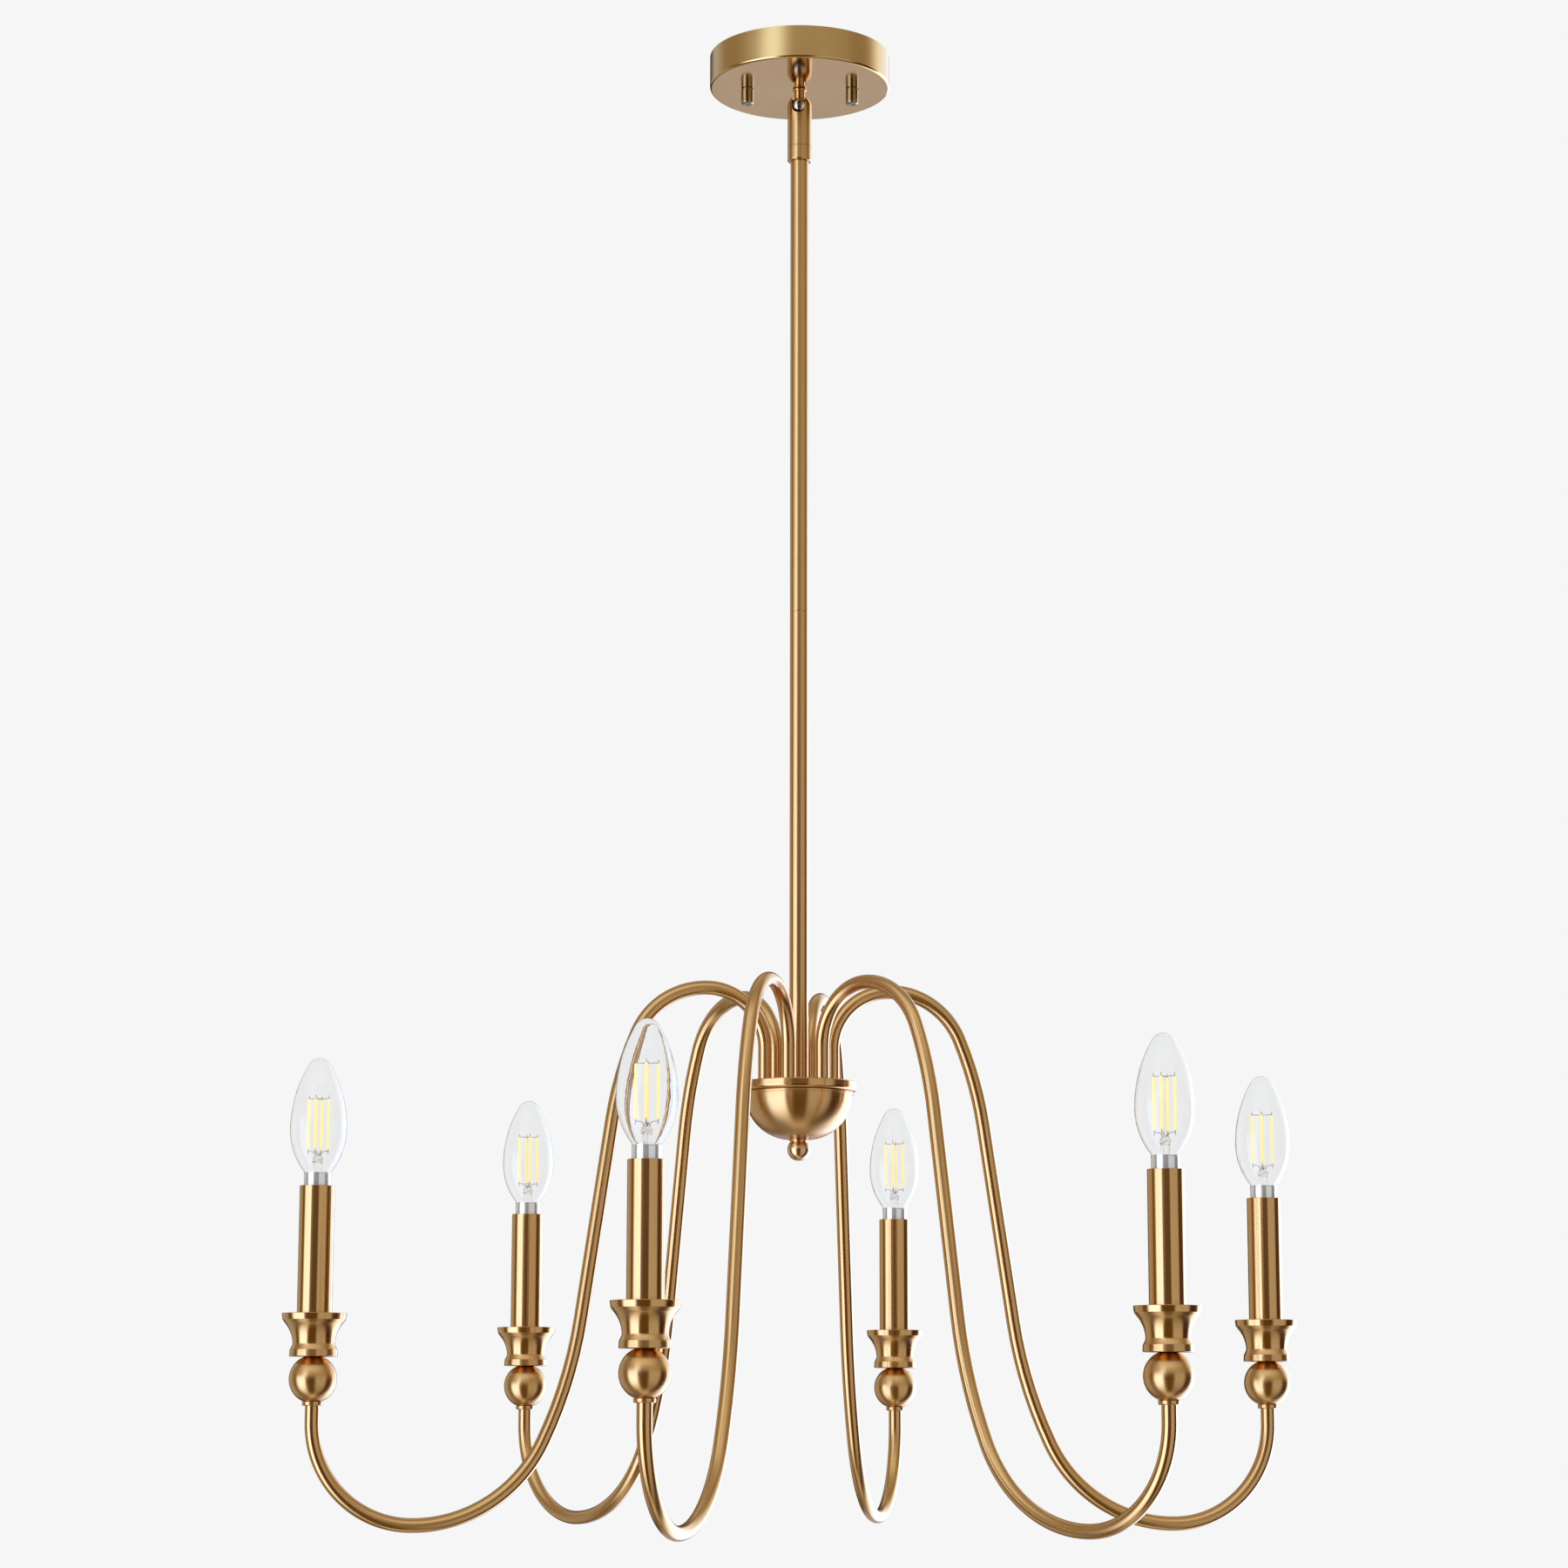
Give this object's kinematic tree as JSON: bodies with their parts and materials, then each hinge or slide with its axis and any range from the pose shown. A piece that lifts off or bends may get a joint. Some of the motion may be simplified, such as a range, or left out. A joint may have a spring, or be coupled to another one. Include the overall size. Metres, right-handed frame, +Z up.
{
  "type": "multi arm chandelier",
  "caption": "Candle-style chandelier: bent tube arms swing from a bowl hub on a two-piece rod, with a swivel under a round ceiling canopy and clear candle bulbs.",
  "frame": {"origin": "centre of the mounting bar top face, on the ceiling plane and the fitting axis", "axes": "+Z up into the ceiling; canopy screws and bar along X; the swivel slot faces the front, -Y, turned 6 degrees; first arm 17.6 degrees from -Y towards -X"},
  "size_m": [0.6392, 0.6295, 0.9689],
  "materials": {
    "brushed_brass": "satin brushed, clear lacquered antique brass",
    "chrome": "polished",
    "nickel": "bright nickel plated",
    "zinc_steel": "zinc plated",
    "green_paint": "green passivated screw",
    "phenolic": "moulded black",
    "glass": "clear"
  },
  "bodies": {
    "ceiling_mount": {"mounting_bar": "zinc_steel", "ground_screw": "green_paint", "mounting_studs": "zinc_steel", "canopy": "brushed_brass", "cap_nuts": "brushed_brass"},
    "swivel": {"swivel_neck": "chrome", "neck_nut": "zinc_steel"},
    "hanging_frame": {"swivel_housing": "brushed_brass", "trunnions": "zinc_steel", "rod_coupler": "brushed_brass", "upper_rod": "brushed_brass", "lower_rod": "brushed_brass", "rod_nipples": "zinc_steel", "hub_plate": "brushed_brass", "hub_stem": "zinc_steel", "hub_nuts": "zinc_steel", "hub_bowl": "brushed_brass", "finial": "brushed_brass"},
    "arm_unit_1": {"arm_1": "brushed_brass", "ball_1": "brushed_brass", "cup_1": "brushed_brass", "sleeve_1": "brushed_brass", "lampholder_1": "phenolic"},
    "bulb_unit_1": {"bulb_base_1": "nickel", "bulb_glass_1": "glass"},
    "arm_unit_2": {"arm_2": "brushed_brass", "ball_2": "brushed_brass", "cup_2": "brushed_brass", "sleeve_2": "brushed_brass", "lampholder_2": "phenolic"},
    "bulb_unit_2": {"bulb_base_2": "nickel", "bulb_glass_2": "glass"},
    "arm_unit_3": {"arm_3": "brushed_brass", "ball_3": "brushed_brass", "cup_3": "brushed_brass", "sleeve_3": "brushed_brass", "lampholder_3": "phenolic"},
    "bulb_unit_3": {"bulb_base_3": "nickel", "bulb_glass_3": "glass"},
    "arm_unit_4": {"arm_4": "brushed_brass", "ball_4": "brushed_brass", "cup_4": "brushed_brass", "sleeve_4": "brushed_brass", "lampholder_4": "phenolic"},
    "bulb_unit_4": {"bulb_base_4": "nickel", "bulb_glass_4": "glass"},
    "arm_unit_5": {"arm_5": "brushed_brass", "ball_5": "brushed_brass", "cup_5": "brushed_brass", "sleeve_5": "brushed_brass", "lampholder_5": "phenolic"},
    "bulb_unit_5": {"bulb_base_5": "nickel", "bulb_glass_5": "glass"},
    "arm_unit_6": {"arm_6": "brushed_brass", "ball_6": "brushed_brass", "cup_6": "brushed_brass", "sleeve_6": "brushed_brass", "lampholder_6": "phenolic"},
    "bulb_unit_6": {"bulb_base_6": "nickel", "bulb_glass_6": "glass"}
  },
  "joints": [
    {"name": "canopy_turn", "type": "hinge", "parent": "ceiling_mount", "child": "swivel", "pos_m": [0, 0, -0.0343], "axis": [0, 0, 1], "range_deg": [-170, 170]},
    {"name": "frame_tilt", "type": "hinge", "parent": "swivel", "child": "hanging_frame", "pos_m": [0, 0, -0.0343], "axis": [-0.9945, 0.1045, 0], "range_deg": [0, 60]},
    {"name": "arm_turn_1", "type": "hinge", "parent": "hanging_frame", "child": "arm_unit_1", "pos_m": [-0.00665, -0.02097, -0.6873], "axis": [0, 0, 1], "range_deg": [-26.5, 23.5]},
    {"name": "bulb_lift_1", "type": "slide", "parent": "arm_unit_1", "child": "bulb_unit_1", "axis": [0, 0, 1], "range_m": [0, 0.03]},
    {"name": "arm_turn_2", "type": "hinge", "parent": "hanging_frame", "child": "arm_unit_2", "pos_m": [0.01483, -0.01625, -0.6873], "axis": [0, 0, 1], "range_deg": [-26.8, 23.2]},
    {"name": "bulb_lift_2", "type": "slide", "parent": "arm_unit_2", "child": "bulb_unit_2", "axis": [0, 0, 1], "range_m": [0, 0.03]},
    {"name": "arm_turn_3", "type": "hinge", "parent": "hanging_frame", "child": "arm_unit_3", "pos_m": [0.02149, 0.00472, -0.6873], "axis": [0, 0, 1], "range_deg": [-21.3, 28.7]},
    {"name": "bulb_lift_3", "type": "slide", "parent": "arm_unit_3", "child": "bulb_unit_3", "axis": [0, 0, 1], "range_m": [0, 0.03]},
    {"name": "arm_turn_4", "type": "hinge", "parent": "hanging_frame", "child": "arm_unit_4", "pos_m": [0.00665, 0.02097, -0.6873], "axis": [0, 0, 1], "range_deg": [-30, 20]},
    {"name": "bulb_lift_4", "type": "slide", "parent": "arm_unit_4", "child": "bulb_unit_4", "axis": [0, 0, 1], "range_m": [0, 0.03]},
    {"name": "arm_turn_5", "type": "hinge", "parent": "hanging_frame", "child": "arm_unit_5", "pos_m": [-0.01483, 0.01625, -0.6873], "axis": [0, 0, 1], "range_deg": [-20.7, 29.3]},
    {"name": "bulb_lift_5", "type": "slide", "parent": "arm_unit_5", "child": "bulb_unit_5", "axis": [0, 0, 1], "range_m": [0, 0.03]},
    {"name": "arm_turn_6", "type": "hinge", "parent": "hanging_frame", "child": "arm_unit_6", "pos_m": [-0.02149, -0.00472, -0.6873], "axis": [0, 0, 1], "range_deg": [-24.5, 25.5]},
    {"name": "bulb_lift_6", "type": "slide", "parent": "arm_unit_6", "child": "bulb_unit_6", "axis": [0, 0, 1], "range_m": [0, 0.03]}
  ]
}
